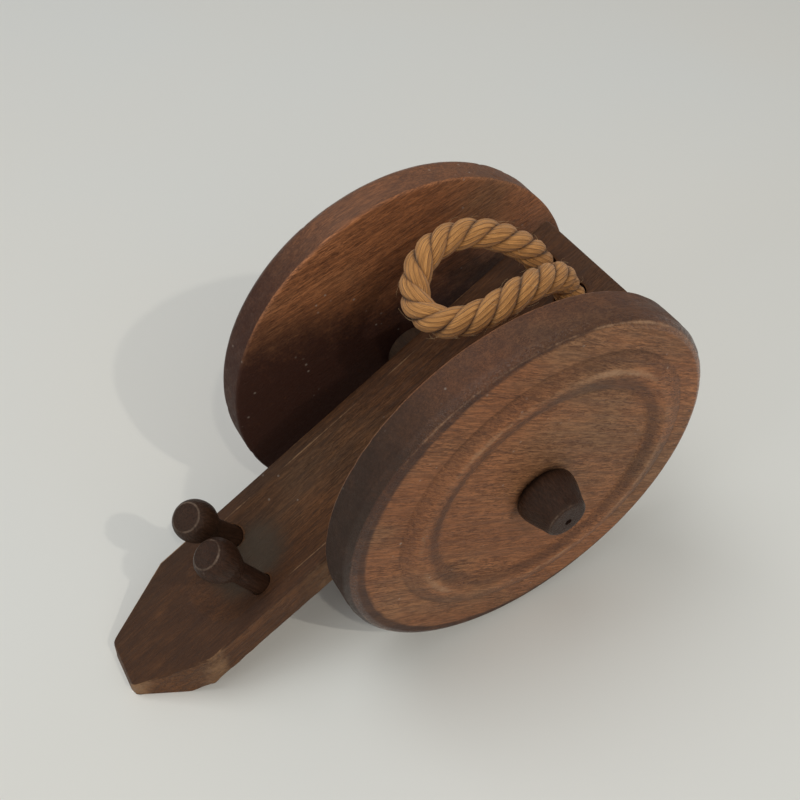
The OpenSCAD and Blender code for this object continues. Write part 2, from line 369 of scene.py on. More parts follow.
def useWearAndShading(tree, where, colour, wornMask, dirtMask, look):
    return useGroup(tree, wearAndShadingGroup, {"Coordinates": where, "Color": colour, "WornAndHighlight Mask": wornMask,
                                      "DirtAndShade Mask": dirtMask, "WornAndHighlight": look["worn"], "DirtAndShade": look["dirt"],
                                      "Speck Amount": look["specks"]})


def addBump(tree, shader, strength, distance, height):
    bump = addNode(tree, "Bump", {"Strength": strength, "Distance": distance, "Height": height})
    feed(tree, shader, {"Normal": bump.outputs[0]})


# wood with masks from its mesh: wear with a painted highlight, dirt with painted shade, stain with painted
# light and shade, and shine
def woodMaterial(name, look):
    made, tree, shader = newMaterial(name)
    where = addNode(tree, "Attribute", attribute_name="grain").outputs["Vector"]
    figure = useWood(tree, where, look)
    thin = spread(tree, grainNoise(tree, where, 0.4, 150, 4, 0.65), 0.32, 0.62, 0.75, 1.0)
    stain = times(tree, readMask(tree, "stain"), look["stainAmount"])
    coverage = times(tree, stain, thin)
    stained = mixColour(tree, coverage, figure.outputs["Color"], look["stain"])
    wearAndShading = useWearAndShading(tree, where, stained, readMask(tree, "worn"), readMask(tree, "dirt"), look)
    polish = plus(tree, times(tree, figure.outputs["Shine"], -0.12),
                   times(tree, readMask(tree, "shine"), look["polish"]))
    roughness = plus(tree, plus(tree, wearAndShading.outputs["Rough"], look["rough"]), polish)
    feed(tree, shader, {"Base Color": wearAndShading.outputs["Color"], "Roughness": roughness,
                        "Specular IOR Level": look["specular"]})
    height = plus(tree, figure.outputs["Height"], times(tree, wearAndShading.outputs["Height"], 0.8))
    addBump(tree, shader, look["bump"], woodRelief, height)
    return made


ropeSet = {"diameter": 12.7 * mm, "forward": 65 * mm, "half": 10 * mm, "seat": 12.5 * mm, "lay": 27 * mm,
           "strand": 2.98 * mm, "strands": 3, "sides": 30, "ringGap": 0.55 * mm,
           "yarns": 10.0, "yarnLean": -42.0, "relief": 0.5 * mm, "hairs": 240, "hairRadius": 0.055 * mm,
           "hairDark": rgb(0.5, 0.3, 0.13), "hairLight": rgb(0.75, 0.55, 0.32), "bareEnd": 14 * mm,
           "lightColour": rgb(0.72, 0.35, 0.11), "darkColour": rgb(0.25, 0.1, 0.026),
           "patchColour": rgb(0.36, 0.16, 0.05), "creaseShadeColour": rgb(0.03, 0.011, 0.004), "roughness": 0.82}
# the route's own points, as [forward of the holes, left of the left hole, above the top face]
ropeRoute = [(0, 0, -12.5), (0, 0, -6.25), (0, 0, 0), (0, 0, 12), (-5, 3, 26), (-14, 8, 38), (-26, 10, 45),
             (-38, 7, 48), (-47, 0, 47), (-51, -9, 46), (-48, -19, 44), (-40, -25, 42), (-29, -28, 40),
             (-18, -28, 37), (-8, -26, 30), (-1, -23, 20), (0, -20, 10), (0, -20, 0), (0, -20, -6.25),
             (0, -20, -12.5)]


def smoothLine(route, steps):
    line = []
    for k in range(len(route) - 1):
        a, b, c, d = (route[max(k - 1, 0)], route[k], route[k + 1], route[min(k + 2, len(route) - 1)])
        for j in range(steps):
            t = j / steps
            line.append(0.5 * (2 * b + (c - a) * t + (2 * a - 5 * b + 4 * c - d) * t * t
                               + (3 * b - a - 3 * c + d) * t * t * t))
    line.append(route[-1])
    return line


def evenly(line, gap):
    out, carried = [line[0]], 0.0
    for a, b in zip(line, line[1:]):
        length = (b - a).length
        at = gap - carried
        while at <= length:
            out.append(a.lerp(b, at / length))
            at += gap
        carried = (carried + length) % gap
    return out


def framesAlong(line, firstSide):
    frames, side = [], firstSide
    for i, p in enumerate(line):
        ahead = (line[min(i + 1, len(line) - 1)] - line[max(i - 1, 0)]).normalized()
        side = (side - ahead * side.dot(ahead)).normalized()
        frames.append((p, ahead, side, ahead.cross(side)))
    return frames


def makeRopeMaterial():
    made, tree, shader = newMaterial("manila rope")
    strandMap = addNode(tree, "UVMap", uv_map="strand").outputs[0]
    parts = addNode(tree, "SeparateXYZ", {0: strandMap}).outputs
    yarn = useGroup(tree, yarnGroup, {"Around": parts[0], "Along": parts[1], "Lean": ropeSet["yarnLean"],
                                     "Yarns": ropeSet["yarns"]})
    outer = addNode(tree, "Attribute", attribute_name="outer").outputs["Fac"]
    ground = mixColour(tree, spread(tree, yarn.outputs["Fibre"], 0.36, 0.6), ropeSet["darkColour"],
                       ropeSet["lightColour"])
    varied = mixColour(tree, spread(tree, yarn.outputs["Patch"], 0.35, 0.75, 0.0, 0.45), ground,
                       ropeSet["patchColour"])
    # painted shade: the yarn grooves and the sides of each strand, where the strands meet, are darkened
    # towards the near-black crease shade colour
    lined = mixColour(tree, times(tree, yarn.outputs["Groove"], 0.5), varied, ropeSet["creaseShadeColour"])
    creaseShaded = mixColour(tree, spread(tree, outer, 0.86, 0.42), lined, ropeSet["creaseShadeColour"])
    feed(tree, shader, {"Base Color": creaseShaded, "Roughness": ropeSet["roughness"], "Specular IOR Level": 0.25,
                        "Sheen Weight": 0.15})
    addBump(tree, shader, 0.8, ropeSet["relief"], yarn.outputs["Height"])
    return made


def makeRope():
    route = [onPlank(ropeSet["forward"] + x * mm, ropeSet["half"] + y * mm, z * mm) for x, y, z in ropeRoute]
    line = evenly(smoothLine(route, 24), ropeSet["ringGap"])
    if (line[-1] - route[-1]).length > 1e-6:
        line.append(route[-1])
    frames = framesAlong(line, Vector((0, 1, 0)))
    outFromMiddle = ropeSet["diameter"] / 2 - ropeSet["strand"]
    points, faces, uvs, outer = [], [], [], []
    sides = ropeSet["sides"]
    travelled = [0.0]
    for a, b in zip(line, line[1:]):
        travelled.append(travelled[-1] + (b - a).length)
    for strand in range(ropeSet["strands"]):
        centres, outs = [], []
        for (p, ahead, side, other), run in zip(frames, travelled):
            a = 2 * math.pi * (strand / ropeSet["strands"] - run / ropeSet["lay"])
            outward = side * math.cos(a) + other * math.sin(a)
            centres.append(p + outward * outFromMiddle)
            outs.append(outward)
        base = len(points)
        along = 0.0
        runs = []
        for i, c in enumerate(centres):
            tangent = (centres[min(i + 1, len(centres) - 1)] - centres[max(i - 1, 0)]).normalized()
            if i:
                along += (c - centres[i - 1]).length
            runs.append(along)
            radial = (outs[i] - tangent * outs[i].dot(tangent)).normalized()
            binormal = tangent.cross(radial)
            for k in range(sides):
                a = math.pi + 2 * math.pi * k / sides
                twist = a - math.pi + along * 2 * math.pi * ropeSet["yarnLean"]
                ridge = 1 + 0.018 * math.cos(ropeSet["yarns"] * twist)
                fuzz = 1 + 0.03 * noise.noise(c * 420 + Vector((k * 0.9, strand * 7, 0)))
                oval = 1 - 0.035 * math.cos(2 * a)
                r = ropeSet["strand"] * ridge * fuzz * oval
                points.append(c + (radial * math.cos(a) + binormal * math.sin(a) * 1.1) * r)
                outer.append(0.5 + 0.5 * math.cos(a))
        for i in range(len(centres) - 1):
            for k in range(sides):
                n = (k + 1) % sides
                faces.append((base + i * sides + k, base + (i + 1) * sides + k,
                              base + (i + 1) * sides + n, base + i * sides + n))
                u0, u1 = k / sides, (k + 1) / sides
                uvs += [(u0, runs[i]), (u0, runs[i + 1]), (u1, runs[i + 1]), (u1, runs[i])]
        for end, order in ((0, 1), (len(centres) - 1, -1)):
            ring = [base + end * sides + k for k in range(sides)][::order]
            faces.append(ring)
            uvs += [(0, runs[end])] * sides
    piece = newPiece("rope", points, faces, makeRopeMaterial())
    layer = piece.data.uv_layers.new(name="strand")
    layer.data.foreach_set("uv", [x for uv in uvs for x in uv])
    addFloats(piece, "outer", outer)
    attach(piece, carriage)
    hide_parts("rope_loop")
    hairs = makeHairs(frames, travelled)


def makeHairs(frames, travelled):
    draw = random.Random(7)
    points, faces = [], []
    bare = ropeSet["bareEnd"]
    usable = [i for i, run in enumerate(travelled) if bare < run < travelled[-1] - bare]
    bends, sides = 5, 3
    for _ in range(ropeSet["hairs"]):
        i = draw.choice(usable)
        p, ahead, side, other = frames[i]
        a = draw.uniform(0, 2 * math.pi)
        outward = side * math.cos(a) + other * math.sin(a)
        around = ahead.cross(outward)
        length = draw.choice((1.6, 2.4, 3.2, 5.0)) * mm * draw.uniform(0.7, 1.3)
        lift = draw.uniform(0.15, 0.55)
        heading = (ahead * draw.choice((-1, 1)) + around * draw.uniform(-0.8, 0.8)).normalized()
        curl = draw.uniform(-0.6, 0.6)
        start = p + outward * (ropeSet["diameter"] / 2 - 0.5 * mm)
        trail = []
        for k in range(bends + 1):
            t = k / bends
            trail.append(start + heading * length * t + outward * length * lift * t * (1.4 - t)
                         + around * length * curl * t * t)
        base = len(points)
        for k, (q, dirn, one, two) in enumerate(framesAlong(trail, around)):
            r = ropeSet["hairRadius"] * (1 - 0.6 * k / bends)
            for j in range(sides):
                b = 2 * math.pi * j / sides
                points.append(q + (one * math.cos(b) + two * math.sin(b)) * r)
        for k in range(bends):
            low, high = base + k * sides, base + (k + 1) * sides
            for j in range(sides):
                n = (j + 1) % sides
                faces.append((low + j, low + n, high + n, high + j))
        faces.append(tuple(range(base, base + sides))[::-1])
        faces.append(tuple(range(base + bends * sides, base + (bends + 1) * sides)))
    made, tree, shader = newMaterial("loose fibre")
    where = addNode(tree, "TexCoord").outputs["Object"]
    tint = noiseAt(tree, where, 300, 1)
    colour = mixColour(tree, tint, ropeSet["hairDark"], ropeSet["hairLight"])
    feed(tree, shader, {"Base Color": colour, "Roughness": 0.6})
    piece = newPiece("rope_hairs", points, faces, made)
    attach(piece, carriage)
    return piece


makeRope()
print("rope made")


wheelSet = {"thick": 18 * mm, "treadRound": 6 * mm, "beadHeight": 2.3 * mm, "beadWidth": 19 * mm,
            "beadAt": 0.68, "innerEdge": 1.2 * mm, "boreRadius": 6.58 * mm, "boreLip": 0.6 * mm,
            "ringAside": (4.4 * mm, 2.2 * mm), "stainEdge": 83.6 * mm, "stainAside": (2.6 * mm, 1.8 * mm),
            "look": {"light": rgb(0.45, 0.188, 0.076), "mid": rgb(0.32, 0.124, 0.048),
                     "dark": rgb(0.085, 0.03, 0.012),
                     "lines": 0.5, "drab": rgb(0.26, 0.145, 0.07),
                     "rings": 0.0055, "ringStrength": 0.25, "pores": 0.8, "streaks": 0.5,
                     "stain": rgb(0.046, 0.021, 0.014), "stainAmount": 0.92, "worn": rgb(0.42, 0.24, 0.13),
                     "dirt": rgb(0.032, 0.016, 0.009), "specks": 0.5, "rough": 0.5, "bump": 0.4,
                     "polish": -0.32, "specular": 0.28}}


def wheelProfile():
    # from the bore out over the outer face, round the tread and back along the inner face
    face = innerY + wheelSet["thick"]
    mid, half = wheelRadius * wheelSet["beadAt"], wheelSet["beadWidth"] / 2
    flatEnd = wheelRadius - wheelSet["treadRound"]
    # the bead's crest is a little past its middle
    beadPeak, beadPower, beadSteps = 1.04, 1.45, 28
    bore, lip = wheelSet["boreRadius"], wheelSet["boreLip"]
    profile = between((bore, innerY + 4 * mm), (bore, face - lip), 3) + [(bore, face - lip)]
    profile += between((bore + lip, face), (mid - half, face), 26)
    for i in range(beadSteps + 1):
        t = i / beadSteps
        rise = 1 - abs(2 * t - beadPeak) ** beadPower if t < 1 else 0
        profile.append((mid - half + 2 * half * t, face + wheelSet["beadHeight"] * rise))
    profile += between((mid + half, face), (flatEnd, face), 16)[1:]
    profile += arcPoints(flatEnd, face - wheelSet["treadRound"], wheelSet["treadRound"], 90, 0, 10)
    low = innerY + wheelSet["innerEdge"]
    profile += between((wheelRadius, face - wheelSet["treadRound"]), (wheelRadius, low), 7)[1:]
    profile += arcPoints(wheelRadius - wheelSet["innerEdge"], low, wheelSet["innerEdge"], 0, -90, 4)
    inner = wheelRadius - wheelSet["innerEdge"]
    profile += between((inner, innerY), (bore, innerY), 34)[1:]
    return profile + [(bore, innerY), (bore, innerY + 4 * mm)]


def onAxle(sign):
    # turns a profile's height into the distance out along the axle, to the left for sign 1
    flip = Matrix.Diagonal((1, sign, 1, 1))
    return Matrix.Translation(axlePoint) @ flip @ Matrix.Rotation(math.radians(-90), 4, "X")


def makeWheel(node, sign, grainTurn, seed, material):
    segments = 288
    place = onAxle(sign)

    def wobble(r, z, a):
        at = Vector((math.cos(a) * r * 26, math.sin(a) * r * 26, z * 26 + seed))
        soft = noise.noise(at)
        fine = noise.noise(at * 5)
        edge = softStep(wheelRadius * 0.86, wheelRadius, r)
        inwards = (0.12 + 0.12 * soft + 0.10 * fine) * mm * edge
        chip = max(0.0, noise.noise(at * 9 + Vector((5, 5, 5))) - 0.35) * 0.9 * mm * edge
        return r - inwards - chip, z - soft * 0.06 * mm

    profile = wheelProfile()
    points, faces, rings = lathe(profile, place, segments, wobble)
    aside = Vector((wheelSet["ringAside"][0], 0, wheelSet["ringAside"][1]))
    for (r, z), ring in zip(profile, rings):
        if z > innerY + wheelSet["thick"] - mm:
            share = softStep(80 * mm, 72 * mm, r) * softStep(14 * mm, 24 * mm, r)
            for k in ring:
                points[k] += aside * share
    piece = newPiece(node + "_turned", points, faces, material)
    face = innerY + wheelSet["thick"]
    mid, half = wheelRadius * wheelSet["beadAt"], wheelSet["beadWidth"] / 2
    (stainX, stainZ), stainEdge = wheelSet["stainAside"], wheelSet["stainEdge"]
    grain, worn, dirt, stain, shine = [], [], [], [], []
    turn = Matrix.Rotation(math.radians(grainTurn), 3, "Y")
    for i, (r, z) in enumerate(profile):
        outerFace = z > face - 1.5 * mm
        innerLip = math.hypot(r - (wheelRadius - 0.2 * mm), z - innerY - 0.2 * mm)
        onBead = (r - mid) / half if outerFace else 9
        shoulder = math.hypot(r - wheelRadius * 0.972, z - face + 1.1 * mm)
        # the bead's crest gets a lighter band in the worn mask: partly wear, partly a painted highlight where
        # the light catches the crest
        w = max(0.36 - innerLip / (3 * mm), 0.62 * softStep(0.42, 0.05, abs(onBead - 0.1)),
                0.6 - shoulder / (3.2 * mm), 0)
        foot = min(abs(onBead - 1), abs(onBead + 1)) if outerFace else 1
        innerFace = z < innerY + 0.8 * mm
        nearBore = softStep(18 * mm, 14 * mm, r) if z > innerY + mm else 0
        d = max(0.42 * softStep(0.28, 0.0, foot), 0.5 * nearBore)
        if z < innerY + 0.4 * mm:
            d = max(d, 0.25 + 0.55 * softStep(60 * mm, 20 * mm, r))
        s = 0.0 if outerFace else 1.0
        if innerFace:
            s = 0.25 + 0.3 * softStep(wheelRadius * 0.75, wheelRadius * 0.4, r)
        # painted shade: the bead's inner and outer slopes are darkened through the stain mask, standing in
        # for the slopes turned away from the light
        if abs(onBead) < 1:
            s = max(s, 0.62 * softStep(-0.05, -0.4, onBead) * softStep(-1.0, -0.8, onBead),
                    0.42 * softStep(0.3, 0.65, onBead))
        polished = softStep(face - 5 * mm, face - 3.5 * mm, z)
        if outerFace:
            polished = softStep(wheelRadius * 0.945, wheelRadius * 0.955, r)
        for k in range(segments):
            a = 2 * math.pi * k / segments
            at = points[i * segments + k]
            uneven = 0.75 + 0.5 * noise.noise(Vector((math.cos(a) * 1.7, math.sin(a) * 1.7, seed)))
            grain.append(turn @ (at - axlePoint) + Vector((seed * 0.01, 0, seed * 0.003)))
            worn.append(w * uneven)
            dirt.append(d * uneven)
            # painted light: where the stain is heavy, mostly on the tread, it is thinned towards the top of
            # the wheel so that the top reads lighter, as if lit from above
            stain.append(s * (1 - 0.2 * softStep(120 * mm, 170 * mm, at.z)) if s > 0.6 else s * uneven)
            shine.append(polished)
            if outerFace and r > wheelRadius * 0.85:
                fromMiddle = math.hypot(at.x - axleX - stainX, at.z - wheelRadius - stainZ)
                fromMiddle += 0.7 * mm * noise.noise(Vector((math.cos(a) * 9, math.sin(a) * 9, seed)))
                stain[-1] = softStep(stainEdge - 0.5 * mm, stainEdge + 0.7 * mm, fromMiddle)
            # painted shade: on the tread the dirt mask rises towards the back of the wheel, darkening the
            # part of the tread that faces away from the light
            if (s > 0.9 or stain[-1] > 0.9) and r > wheelRadius * 0.975:
                dirt[-1] = max(dirt[-1], 0.75 * softStep(axleX - 5 * mm, axleX - 85 * mm, at.x))
            # painted shade: on the far wheel's inner face the dirt mask is set dark below, standing in for
            # the near wheel's cast shadow, and eased off towards the top where the light reaches it
            if innerFace and sign > 0:
                lit = softStep(95 * mm, 160 * mm, at.z + 8 * mm * (uneven - 0.75))
                dirt[-1], stain[-1] = 0.95 - 0.85 * lit, 0.2
    addMasks(piece, grain, worn=worn, dirt=dirt, stain=stain, shine=shine)
    faceOut(piece)
    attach(piece, node + "_body")
    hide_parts(node)


wheelMaterial = woodMaterial("wheel wood", wheelSet["look"])
makeWheel("right_wheel", -1, -30, 3.0, wheelMaterial)
farLook = dict(wheelSet["look"], light=rgb(0.56, 0.22, 0.085), mid=rgb(0.42, 0.155, 0.055),
               dark=rgb(0.09, 0.03, 0.012), dirt=rgb(0.045, 0.014, 0.007),
               stain=rgb(0.085, 0.045, 0.03), stainAmount=0.85)
makeWheel("left_wheel", 1, 18, 11.0, woodMaterial("wheel wood red", farLook))
print("wheels made")


plankSet = {"trough": 44 * mm, "depth": 5.5 * mm, "troughFront": 46 * mm, "pegBack": 115 * mm,
            "pastPegs": 9 * mm, "holeRound": 7.0 * mm, "pegHole": 5.15 * mm,
            "fineRows": ((-152 * mm, -118 * mm), (18 * mm, 48 * mm)),
            # each insect hole: place along and across the plank, and radius
            "insectHoles": ((-87.5 * mm, 6 * mm, 0.55 * mm), (-87.7 * mm, -5 * mm, 0.95 * mm)),
            "insectDepth": 3 * mm,
            "look": {"light": rgb(0.25, 0.1, 0.033), "mid": rgb(0.12, 0.046, 0.016),
                     "dark": rgb(0.03, 0.012, 0.005),
                     "lines": 0.45, "drab": rgb(0.09, 0.05, 0.025),
                     "rings": 0.0045, "ringStrength": 0.35, "pores": 0.6, "streaks": 0.5,
                     "stain": rgb(0.046, 0.02, 0.01), "stainAmount": 0.82, "worn": rgb(0.3, 0.165, 0.08),
                     "dirt": rgb(0.062, 0.043, 0.028), "specks": 0.55, "rough": 0.48, "bump": 0.5,
                     "polish": -0.05, "specular": 0.22}}
troughRadius = (plankSet["trough"] ** 2 / 4 + plankSet["depth"] ** 2) / (2 * plankSet["depth"])


def troughHeight(s, y):
    # height of the plank's top there: 0 on the flat, less in the trough, with its edge a little rounded
    tail = -plankSet["pegBack"] - plankSet["pastPegs"]
    front = plankSet["troughFront"] - plankSet["trough"] / 2
    past = max(tail - s, s - front, 0.0)
    inside = troughRadius ** 2 - y * y - past * past
    if inside <= 0:
        return 0.0
    cut = troughRadius - plankSet["depth"] - math.sqrt(inside)
    soft = 0.35 * mm
    return -math.log(1 + math.exp(min(40, -cut / soft))) * soft if cut / soft > -40 else cut


def halfWidth(x):
    # the plank's half width at a distance behind the axle, cut straight down as seen from above
    tip, reach, half = plankSize["tip"] / 2, plankSize["tailReach"], plankSize["width"] / 2
    lean = math.atan2(half - tip, plankSize["taper"])
    r = plankSize["tipRound"]
    across = tip - r * math.tan((math.pi / 2 - lean) / 2)
    centre = -reach + r
    if x < centre - r * math.sin(lean):
        return across + math.sqrt(max(r * r - (x - centre) ** 2, 0))
    return min(half, tip + (x + reach) * math.tan(lean))


def plankLoop():
    # one turn round the plank's section as [share across, height, side], with rounded edges
    r, half, thick = plankSize["edgeRound"], plankSize["width"] / 2, plankSize["thick"]
    edge = half - r
    close = [plankSet["trough"] / 2 + d * mm for d in (-1.6, -1.0, -0.5, 0, 0.5, 1.0, 1.6)]
    steps = {round(-edge + 2 * edge * i / 40, 6) for i in range(41)}
    across = sorted(steps | set(close) | {-c for c in close})
    turns = [math.pi / 8 * k for k in range(1, 4)]
    loop = [(y, 0.0, "top") for y in across]
    loop += [(edge + r * math.sin(a), -r + r * math.cos(a), "edge") for a in turns]
    loop += [(half, -r - (thick - 2 * r) * k / 8, "side") for k in range(9)]
    loop += [(edge + r * math.cos(a), -thick + r - r * math.sin(a), "low") for a in turns]
    loop += [(edge - 2 * edge * k / 16, -thick, "under") for k in range(17)]
    loop += [(-edge - r * math.sin(a), -thick + r - r * math.cos(a), "low") for a in turns]
    loop += [(-half, -thick + r + (thick - 2 * r) * k / 8, "side") for k in range(9)]
    loop += [(-edge - r * math.cos(a), -r + r * math.sin(a), "edge") for a in turns]
    return loop


def makePlank():
    loop = plankLoop()
    r, thick = plankSize["edgeRound"], plankSize["thick"]
    tipS = -(plankSize["tailReach"] - topHeight * math.sin(slope)) / math.cos(slope)
    front = plankSize["front"]
    stations = [tipS + d * mm for d in (1.2, 1.8, 2.6, 3.6)]
    s = tipS + 5 * mm
    while s < front - 2 * mm:
        stations.append(s)
        s += (0.9 if any(low < s < high for low, high in plankSet["fineRows"]) else 2.2) * mm
    stations.append(front - r)
    # the ends are closed by loops that shrink as they reach the end's plane
    ends = [(0.0, 1.0), (r * 0.3, 0.45), (r, 0.0)]
    rows = [(tipS + d, shrink) for d, shrink in ends] + [(x, 0.0) for x in stations]
    rows += [(front - d, shrink) for d, shrink in ends[1::-1]]
    points, grain, worn, dirt, stain = [], [], [], [], []
    for s, shrink in rows:
        upright = softStep(-70 * mm, -140 * mm, s)
        for y, h, part in loop:
            ss = s + h * math.tan(slope) * upright
            if part == "top":
                h = troughHeight(s, y) - shrink * r
            else:
                h = h * (1 - 2 * shrink * r / thick) - shrink * r
            x = ss * math.cos(slope) - (h + topHeight) * math.sin(slope)
            share = halfWidth(max(x, -plankSize["tailReach"])) / (plankSize["width"] / 2)
            yy = y * share * (1 - shrink * r / (plankSize["width"] / 2 * share))
            dent = 0.10 * mm * noise.noise(Vector((ss * 60, yy * 60, h * 60)))
            if part in ("edge", "low"):
                dent -= max(0, noise.noise(Vector((ss * 160, yy * 30, 4))) - 0.1) * 0.8 * mm
            sideDent = math.copysign(dent, yy) * (part != "top")
            p = onPlank(ss, yy + sideDent, h + dent * (part in ("top", "edge")))
            p.z = max(p.z, 0.0)
            p.x = max(p.x, axlePoint.x - plankSize["tailReach"])
            points.append(p)
            grain.append((ss, yy, h))
            nearTrough = abs(abs(y) - plankSet["trough"] / 2)
            inTrough = -plankSet["pegBack"] - plankSet["pastPegs"] < s < plankSet["troughFront"] - 20 * mm
            tailEdge = softStep(-125 * mm, -150 * mm, s)
            w = {"edge": 0.5 + 0.5 * tailEdge, "low": 0.5, "side": 0.62 + 0.35 * tailEdge}.get(part, 0.0)
            if part == "top" and inTrough:
                w = max(w, 0.72 - nearTrough / (1.2 * mm))
            w *= 0.75 + 0.9 * noise.noise(Vector((s * 45, y * 20, 9)))
            lower = softStep(0, -plankSet["depth"], h) if part == "top" else 0
            nearPegs = softStep(34 * mm, 8 * mm, math.hypot(s + plankSet["pegBack"], y))
            worn.append(max(w, 0))
            dirty, flat = 0.15, 0.9 if part == "edge" else 0.0
            if part == "top":
                dirty = max(0.8 * nearPegs * max(0.35, lower), 0.3 * lower * softStep(-20 * mm, 40 * mm, s))
                flat = max(1 - softStep(0, -1.5 * mm, h), 0.75 * softStep(-70 * mm, -112 * mm, s))
            dirt.append(dirty)
            ends = 0.55 * softStep(-60 * mm, -120 * mm, s) + 0.35 * softStep(20 * mm, 60 * mm, s)
            stain.append(flat * (0.45 + ends))
    n = len(loop)
    faces = []
    for i in range(len(rows) - 1):
        for k in range(n):
            m = (k + 1) % n
            faces.append((i * n + k, (i + 1) * n + k, (i + 1) * n + m, i * n + m))
    faces.append(tuple(range(n)))
    faces.append(tuple((len(rows) - 1) * n + k for k in range(n))[::-1])
    piece = newPiece("plank", points, faces, woodMaterial("plank wood", plankSet["look"]))
    addMasks(piece, grain, worn=worn, dirt=dirt, stain=stain)
    faceOut(piece)
    drillPlank(piece)
    for face in piece.data.polygons:
        face.use_smooth = True
    piece.data.set_sharp_from_angle(angle=math.radians(38))
    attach(piece, carriage)
    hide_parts("trail_plank")


def drillPlank(piece):
    # rope holes, peg holes and two small insect holes
    holes = []
    for sign in (-1, 1):
        holes.append((ropeSet["forward"], sign * ropeSet["half"], plankSet["holeRound"], ropeSet["seat"], 0))
        holes.append((-plankSet["pegBack"], sign * pegSet["spacing"] / 2, plankSet["pegHole"],
                      pegSet["seat"], sign))
    holes += [(s, y, radius, plankSet["insectDepth"], 0) for s, y, radius in plankSet["insectHoles"]]
    points, faces, count = [], [], 32
    for s, y, radius, depth, lean in holes:
        faces += drillFaces(len(points), count)
        tilt = math.radians(pegSet["lean"]) * lean
        for h in (-depth, 9 * mm):
            aside = math.tan(tilt) * (h + 4 * mm)
            for k in range(count):
                a = 2 * math.pi * k / count
                points.append(onPlank(s + radius * math.cos(a), y + radius * math.sin(a) - aside, h))
    drill(piece, points, faces)


# the plank is drilled for the pegs, so their sizes come first
pegSet = {"spacing": 29 * mm, "lean": 6.0, "height": 35 * mm, "head": 18.5 * mm,
          "stem": 9.5 * mm, "seat": 9 * mm,
          "look": {"light": rgb(0.07, 0.03, 0.016), "mid": rgb(0.042, 0.018, 0.01),
                   "dark": rgb(0.014, 0.006, 0.003),
                   "lines": 0.5, "drab": rgb(0.055, 0.03, 0.018),
                   "rings": 0.003, "ringStrength": 0.3, "pores": 0.5, "streaks": 0.4,
                   "stain": rgb(0.04, 0.02, 0.012), "stainAmount": 0.3, "worn": rgb(0.2, 0.14, 0.1),
                   "dirt": rgb(0.012, 0.006, 0.004), "specks": 0.6, "rough": 0.34, "bump": 0.5, "polish": 0.0,
                   "specular": 0.16}}
makePlank()
print("plank made")


def smoothProfile(corners, steps=5):
    line = smoothLine([Vector((r, z)) for r, z in corners], steps)
    return [(max(p.x, 0.0), p.y) for p in line]


def turnedPiece(name, node, profile, place, material, wornAt, dirtAt, seed):
    segments = 96

    def wobble(r, z, a):
        at = Vector((math.cos(a) * r * 90, math.sin(a) * r * 90, z * 90 + seed))
        return r * (1 + 0.006 * noise.noise(at)) - 0.05 * mm * max(0, noise.noise(at * 4)), z

    points, faces, rings = lathe(profile, place, segments, wobble)
    piece = newPiece(name, points, faces, material)
    back = place.inverted()
    grain, worn, dirt = [], [], []
    for (r, z), ring in zip(profile, rings):
        for k in ring:
            q = back @ points[k]
            grain.append((q.z + seed * 0.013, q.x, q.y))
            worn.append(wornAt(r, z))
            dirt.append(dirtAt(r, z))
    addMasks(piece, grain, worn=worn, dirt=dirt, stain=[0.5] * len(points))
    faceOut(piece)
    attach(piece, carriage)
    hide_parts(node)
    return piece


def makePegs(material):
    drop = plankSet["depth"] - troughRadius + math.sqrt(troughRadius ** 2 - pegSet["spacing"] ** 2 / 4)
    top, stem, head = pegSet["height"] + drop, pegSet["stem"] / 2, pegSet["head"] / 2
    profile = [(0.0, -pegSet["seat"]), (stem, -pegSet["seat"]), (stem, 0.0), (stem, top - 22 * mm)]
    knob = [(stem, top - 22 * mm), (stem + 0.5 * mm, top - 19 * mm), (stem + 1.8 * mm, top - 16.5 * mm),
            (head - 1.5 * mm, top - 13.5 * mm), (head - 0.3 * mm, top - 10.5 * mm), (head, top - 7.5 * mm),
            (head - 0.3 * mm, top - 4.6 * mm), (head - 1.2 * mm, top - 2.2 * mm),
            (head - 2.4 * mm, top - 0.7 * mm), (head - 3.4 * mm, top)]
    profile += smoothProfile(knob)[1:]
    profile += between((head - 3.4 * mm, top), (0.0, top), 6)[1:] + [(0.0, top)]

    def wornRim(r, z):
        return 0.6 * softStep(1.1 * mm, 0.2 * mm, math.hypot(r - head + 2.9 * mm, z - top + 0.3 * mm))

    def dirtyNeck(r, z):
        return 0.3 * softStep(top - 14 * mm, top - 20 * mm, z)

    for side, sign in (("left", 1), ("right", -1)):
        axes = onPlankFrame(-plankSet["pegBack"], sign * pegSet["spacing"] / 2, -drop)
        place = axes @ Matrix.Rotation(math.radians(pegSet["lean"]) * sign, 4, "X")
        turnedPiece(side + "_peg_turned", side + "_peg", profile, place, material, wornRim, dirtyNeck,
                    5.0 + 3 * sign)


def onPlankFrame(s, y, h):
    ahead = Vector((math.cos(slope), 0, math.sin(slope)))
    up = Vector((-math.sin(slope), 0, math.cos(slope)))
    axes = Matrix((ahead, Vector((0, 1, 0)), up)).transposed().to_4x4()
    return Matrix.Translation(onPlank(s, y, h)) @ axes


capSet = {"end": 17.5 * mm, "nailOff": 2.6 * mm, "nailHole": 1.6 * mm, "nailSink": 1.6 * mm,
          "rightAside": (2.0 * mm, 1.6 * mm)}


